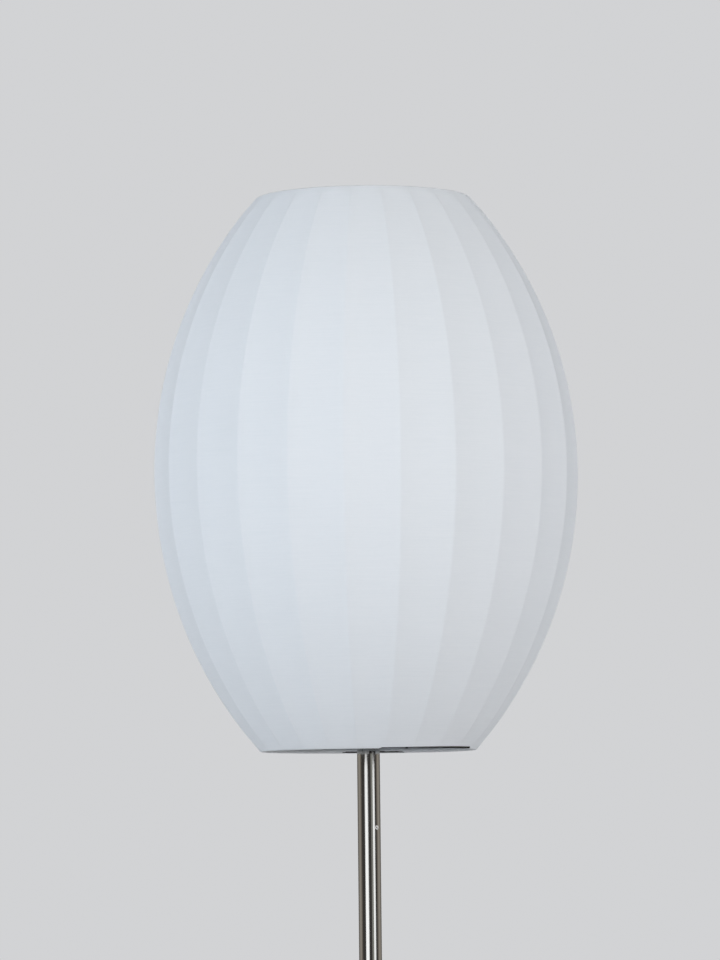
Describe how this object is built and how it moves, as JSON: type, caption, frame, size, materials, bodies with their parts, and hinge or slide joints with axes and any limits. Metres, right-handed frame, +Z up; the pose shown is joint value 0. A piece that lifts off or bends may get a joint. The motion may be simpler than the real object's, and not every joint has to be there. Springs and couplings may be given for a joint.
{
  "type": "floor lamp",
  "caption": "Floor lamp with a round flat base, a slim metal mast and a barrel-shaped stretched-fabric shade over vertical wire ribs, open at top and bottom.",
  "frame": {"origin": "centre of the underside of the base, on the floor", "axes": "+Z up along the mast; -Y is the front, seen by the picture; +Y is the rear, where the cord enters the base"},
  "size_m": [0.2966, 0.2968, 1.5004],
  "materials": {
    "felt": "pressed felt",
    "cast_iron": "as cast, painted",
    "nickel": "polished nickel plate with fine lengthwise brushing",
    "zinc_steel": "bright zinc plate",
    "brass": "plain",
    "black_plastic": "satin moulded",
    "grey_plastic": "moulded",
    "ceramic": "unglazed",
    "lead_sheath": "smooth sheath",
    "live_insulation": "smooth, brown",
    "neutral_insulation": "smooth, blue",
    "dark_wire": "dark oxide wire",
    "knit_fabric": "fine stretch knit, white",
    "opal": "opal diffuser",
    "white_plastic": "moulded",
    "bulb_metal": "rolled thread",
    "bulb_black": "vitrite",
    "board": "white solder mask with yellow chips"
  },
  "bodies": {
    "stand": {"base_pad": "felt", "base_weight": "cast_iron", "base_cover": "nickel", "wiring_cover": "black_plastic", "wiring_cover_screws": "zinc_steel", "cord_gland": "black_plastic", "clamp_bar": "grey_plastic", "clamp_screws": "zinc_steel", "terminal_block": "grey_plastic", "terminal_barrels": "brass", "terminal_screws": "zinc_steel", "terminal_block_screw": "zinc_steel", "base_stud": "zinc_steel", "base_washer": "zinc_steel", "base_lock_nut": "zinc_steel", "foot_collar": "nickel", "mast_lower": "nickel", "mast_middle": "nickel", "mast_upper": "nickel", "mast_inserts": "brass", "mast_studs": "zinc_steel", "mast_top_cap": "nickel", "mast_grub_screw": "zinc_steel", "holder_stud": "zinc_steel", "holder_cap": "black_plastic", "holder_skirt": "black_plastic", "holder_core": "ceramic", "screw_shell": "brass", "centre_contact": "brass", "holder_terminals": "brass", "holder_terminal_screws": "zinc_steel", "internal_lead": "lead_sheath", "live_wire": "live_insulation", "neutral_wire": "neutral_insulation"},
    "shade_seat": {"lower_shade_ring": "black_plastic"},
    "shade": {"shade_skin": "knit_fabric", "bottom_ring": "dark_wire", "top_ring": "dark_wire", "shade_ribs": "dark_wire", "spider_washer": "dark_wire", "spider_arms": "dark_wire"},
    "ring_nut": {"upper_ring_nut": "black_plastic"},
    "bulb_tip": {"bulb_tip": "brass"},
    "bulb": {"bulb_insulator": "bulb_black", "bulb_thread_cap": "bulb_metal", "bulb_housing": "white_plastic", "bulb_diffuser": "opal", "led_board": "board"}
  },
  "joints": [
    {"name": "shade_seat_turn", "type": "hinge", "parent": "stand", "child": "shade_seat", "pos_m": [0, 0, 1.15], "axis": [0, 0, 1], "continuous": true},
    {"name": "shade_lift", "type": "slide", "parent": "shade_seat", "child": "shade", "axis": [0, 0, 1], "range_m": [0, 0.2]},
    {"name": "ring_nut_lift", "type": "slide", "parent": "shade", "child": "ring_nut", "axis": [0, 0, 1], "range_m": [0, 0.36]},
    {"name": "bulb_rise", "type": "slide", "parent": "stand", "child": "bulb_tip", "axis": [0, 0, 1], "range_m": [0, 0.0164]},
    {"name": "bulb_turn", "type": "hinge", "parent": "bulb_tip", "child": "bulb", "pos_m": [0, 0, 1.16], "axis": [0, 0, 1], "range_deg": [0, 1620]}
  ],
  "couplings": [
    {"joint": "bulb_rise", "follows": "bulb_turn", "m_per_rad": 0.00057757}
  ]
}
